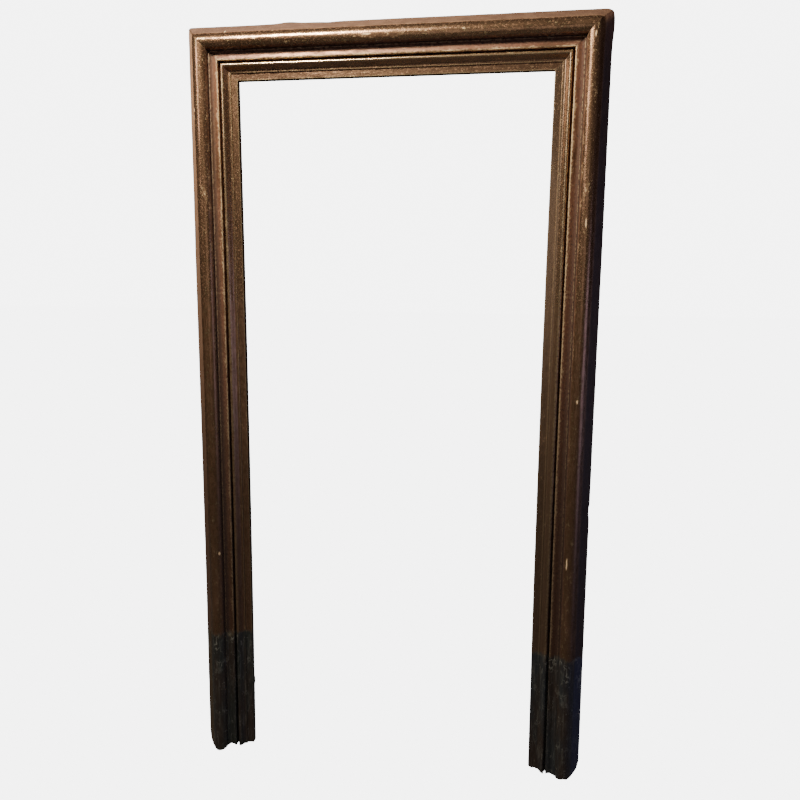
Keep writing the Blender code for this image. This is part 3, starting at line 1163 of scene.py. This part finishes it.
        # The outer side's colour, which on the right foot is painted bluish shade.
        tint = bench.blend(bench.mask(OUTER), tint, foot.outer, foot.outer_cover)
        chalk = bench.span(grain.outputs["Streak"], *foot.chalk)
        speck = bench.span(bench.math("ADD", grain.outputs["Patch"], grain.outputs["Fleck"]), *foot.speck)
        pale = bench.total([(chalk, foot.chalk_cover), (speck, foot.speck_cover)])
        tint = bench.blend(pale, tint, foot.scratch)
        crackle = bench.add("ShaderNodeGroup", node_tree=once("pale_crackle", make_crackle))
        bench.feed(crackle.inputs["Map"], place)
        bench.feed(crackle.inputs["Thickness"], foot.scratch_thickness)
        near_top = bench.span(run, foot.top - foot.scratch_reach, foot.top, foot.scratch_fade, 1.0)
        scratched = bench.math("MULTIPLY", crackle.outputs["Mask"], near_top)
        tint = bench.blend(scratched, tint, foot.scratch, foot.scratch_cover)
        tint = bench.blend(rim, tint, foot.rim, foot.rim_cover)
        dry = bench.math("MULTIPLY", below, foot.roughness)
        keep = bench.math("SUBTRACT", 1.0, below)
        return (
            bench.blend(below, colour, tint),
            bench.math("ADD", bench.math("MULTIPLY", rough, keep), dry),
            bench.math("MULTIPLY", metal, keep),
        )


@dataclass(frozen=True)
class StudioLight:
    """A soft area light that faces a point."""

    name: str
    place: tuple[float, float, float]
    aim: tuple[float, float, float]
    width: float
    watts: float
    colour: tuple[float, float, float] = (1.0, 1.0, 1.0)

    def build(self) -> None:
        """Adds the light to the scene."""
        lamp = bpy.data.lights.new(self.name, "AREA")
        lamp.shape = "DISK"
        lamp.size = self.width
        lamp.energy = self.watts
        lamp.color = self.colour
        stand = bpy.data.objects.new(self.name, lamp)
        bpy.context.scene.collection.objects.link(stand)
        stand.location = self.place
        direction = Matrix.Translation(self.aim).translation - stand.location
        stand.rotation_euler = direction.to_track_quat("-Z", "Y").to_euler()


@dataclass
class Studio:
    """Pale floor, soft light and the camera."""

    floor_z: float
    eye: tuple[float, float, float]
    yaw: float = math.radians(9.148)
    pitch: float = math.radians(-9.69)
    roll: float = math.radians(0.53)
    focal_length: float = 32.58
    sensor_width: float = 36.0
    floor_size: float = 60.0
    floor_drop: float = 0.0005
    floor_tone: Colour = (0.10, 0.10, 0.10, 1.0)
    floor_roughness: float = 0.9
    floor_glow: float = 0.97
    white: float = 6.0
    ambient: float = 0.035
    room: Colour = (1.0, 0.80, 0.72, 1.0)
    lights: tuple[StudioLight, ...] = ()

    def build(self) -> None:
        """Sets up floor, light and camera."""
        self._floor()
        self._sky()
        for light in self.lights:
            light.build()
        self._camera()
        log.info("studio: %d lights", len(self.lights))

    def _floor(self) -> None:
        """Lays the pale floor, which runs out to the sky's white."""
        bpy.ops.object.select_all(action="DESELECT")
        place = (0.0, 0.0, self.floor_z - self.floor_drop)
        bpy.ops.mesh.primitive_plane_add(size=self.floor_size, location=place)
        floor = bpy.context.object
        floor.name = "studio_floor"
        material = bpy.data.materials.new("pale_floor")
        material.use_nodes = True
        tree = material.node_tree
        bench = Bench(tree)
        surface = tree.nodes["Principled BSDF"]
        surface.inputs["Base Color"].default_value = self.floor_tone
        surface.inputs["Roughness"].default_value = self.floor_roughness
        glow = bench.add("ShaderNodeEmission")
        glow.inputs["Strength"].default_value = self.white
        seen = bench.add("ShaderNodeLightPath").outputs["Is Camera Ray"]
        join = bench.add("ShaderNodeMixShader")
        bench.feed(join.inputs[0], bench.math("MULTIPLY", seen, self.floor_glow))
        bench.feed(join.inputs[1], surface.outputs[0])
        bench.feed(join.inputs[2], glow.outputs[0])
        bench.feed(tree.nodes["Material Output"].inputs["Surface"], join.outputs[0])
        floor.data.materials.append(material)

    def _sky(self) -> None:
        """Makes the white surroundings, dim as a light."""
        world = bpy.data.worlds.new("studio_white")
        bpy.context.scene.world = world
        world.use_nodes = True
        bench = Bench(world.node_tree)
        background = world.node_tree.nodes["Background"]
        seen = bench.add("ShaderNodeLightPath").outputs["Is Camera Ray"]
        strength = bench.math("MULTIPLY", seen, self.white - self.ambient)
        bench.feed(background.inputs["Strength"], bench.math("ADD", strength, self.ambient))
        bench.feed(background.inputs["Color"], bench.blend(seen, self.room, (1.0, 1.0, 1.0, 1.0)))

    def _camera(self) -> None:
        """Stands the camera at eye level, right of the middle and looking a little down."""
        camera = bpy.data.cameras.new("photo_view")
        camera.lens = self.focal_length
        camera.sensor_width = self.sensor_width
        stand = bpy.data.objects.new("photo_view", camera)
        bpy.context.scene.collection.objects.link(stand)
        turn = Matrix.Rotation(self.yaw, 4, "Z") @ Matrix.Rotation(math.pi / 2 + self.pitch, 4, "X")
        stand.matrix_world = Matrix.Translation(self.eye) @ turn @ Matrix.Rotation(self.roll, 4, "Z")
        bpy.context.scene.camera = stand


LEFT_FOOT = (
    (0.00, 0.009),
    (0.09, 0.009),
    (0.15, 0.005),
    (0.30, 0.006),
    (0.40, 0.011),
    (0.47, 0.011),
    (0.57, 0.003),
    (0.68, 0.000),
    (0.78, 0.001),
    (0.88, 0.003),
    (0.94, 0.009),
    (0.98, 0.025),
    (1.00, 0.042),
)
RIGHT_FOOT = (
    (0.00, 0.037),
    (0.06, 0.031),
    (0.14, 0.033),
    (0.25, 0.032),
    (0.31, 0.027),
    (0.37, 0.037),
    (0.52, 0.031),
    (0.68, 0.039),
    (0.76, 0.036),
    (0.84, 0.038),
    (0.90, 0.044),
    (0.96, 0.053),
    (1.00, 0.075),
)


def main() -> None:
    """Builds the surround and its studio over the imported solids."""
    logging.basicConfig(level=logging.INFO, format="%(name)s %(message)s")
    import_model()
    left_corner = Corner(Side.LEFT, wear=0.004, taper=0.008, hip_wear=0.0012)
    right_corner = Corner(Side.RIGHT, wear=0.014, taper=0.003, hip_wear=0.0038)
    left = Jamb(
        "left_jamb_moulding",
        "left_jamb",
        "gilt_wood_jambs",
        GildedFinish("left_jamb_gilding", foot=FootFinish(top=0.418, outer=(0.085, 0.050, 0.020, 1.0))),
        (left_corner,),
        blemishes=(Blemish(0.0, 0.235, 0.012, 0.016, -0.0035),),
        flecks=(PaleFleck(0.122, 2.040), PaleFleck(0.085, 0.693), PaleFleck(0.124, 2.02, 0.002, 0.003)),
        seed=3.0,
        side=Side.LEFT,
        broken_foot=LEFT_FOOT,
    )
    right = Jamb(
        "right_jamb_moulding",
        "right_jamb",
        "gilt_wood_jambs",
        GildedFinish(
            "right_jamb_gilding",
            leaf=(0.57, 0.34, 0.215, 1.0),
            toned=(0.26, 0.125, 0.072, 1.0),
            inner=(0.54, 0.375, 0.255, 1.0),
            inner_share=0.7,
            ground_share=0.16,
            # The outer bevel faces away from the light: painted dark bluish as shade, and lighter near the
            # top as painted light.
            bevel=(0.062, 0.045, 0.055, 1.0),
            bevel_lit_top=(0.20, 0.098, 0.070, 1.0),
            # The foot's outer side is painted navy: the blue cast of the shade on that side.
            foot=FootFinish(top=0.435, outer=(0.032, 0.036, 0.085, 1.0), tint=(0.030, 0.034, 0.041, 1.0)),
        ),
        (right_corner,),
        blemishes=(
            Blemish(0.148, 0.892, 0.014, 0.014, 0.0035),
            Blemish(0.148, 2.235, 0.030, 0.045, -0.0040),
        ),
        flecks=(
            PaleFleck(0.098, 1.717, 0.0018, 0.012),
            PaleFleck(0.097, 1.224),
            PaleFleck(0.088, 0.739, 0.0018, 0.016),
            PaleFleck(0.099, 2.198, 0.0022, 0.006),
        ),
        seed=11.0,
        side=Side.RIGHT,
        bow=0.003,
        inner_spread=0.008,
        outer_spread=0.015,
        broken_foot=RIGHT_FOOT,
    )
    head = Head(
        "head_moulding",
        "head",
        "gilt_wood_head",
        GildedFinish(
            "head_gilding",
            leaf=(0.64, 0.385, 0.240, 1.0),
            toned=(0.21, 0.105, 0.068, 1.0),
            inner=(0.50, 0.305, 0.205, 1.0),
            bevel=(0.090, 0.045, 0.033, 1.0),
            bevel_lit_top=(0.090, 0.045, 0.033, 1.0),
            lower_dirt_and_shade=0.0,
            left_end_shade=0.35,
        ),
        (left_corner, right_corner),
        blemishes=(
            Blemish(0.148, 0.305, 0.012, 0.030, -0.0030),
            Blemish(0.148, 0.420, 0.012, 0.020, 0.0015),
        ),
        flecks=(
            PaleFleck(0.100, 0.216),
            PaleFleck(0.098, 0.538, 0.0018, 0.010),
            PaleFleck(0.125, 0.125, 0.003, 0.0012),
        ),
        seed=23.0,
    )
    for bar in (left, right, head):
        bar.build()
    lights = (
        StudioLight("key", (-0.74, -1.15, 1.10), (0.0, 0.0, 0.05), 0.35, 82.0, (1.0, 0.90, 0.71)),
        StudioLight("left_wash", (-2.6, -1.8, 0.9), (-0.5, 0.0, -0.5), 1.2, 17.0, (1.0, 0.89, 0.82)),
        StudioLight("cool_fill", (2.6, -0.8, -1.4), (0.4, 0.0, -1.1), 1.8, 8.0, (0.62, 0.62, 1.0)),
        StudioLight("front_fill", (0.2, -3.0, -0.6), (0.0, 0.0, -1.1), 1.6, 2.0, (1.0, 0.90, 0.82)),
        StudioLight("back_wash", (-1.5, 2.6, 0.9), (0.0, 0.0, -1.0), 1.2, 56.0, (1.0, 0.96, 0.90)),
    )
    Studio(floor_z=left.floor_z, eye=(*EYE, left.soffit_z - EYE_UNDER_SOFFIT), lights=lights).build()


if __name__ == "__main__":
    main()
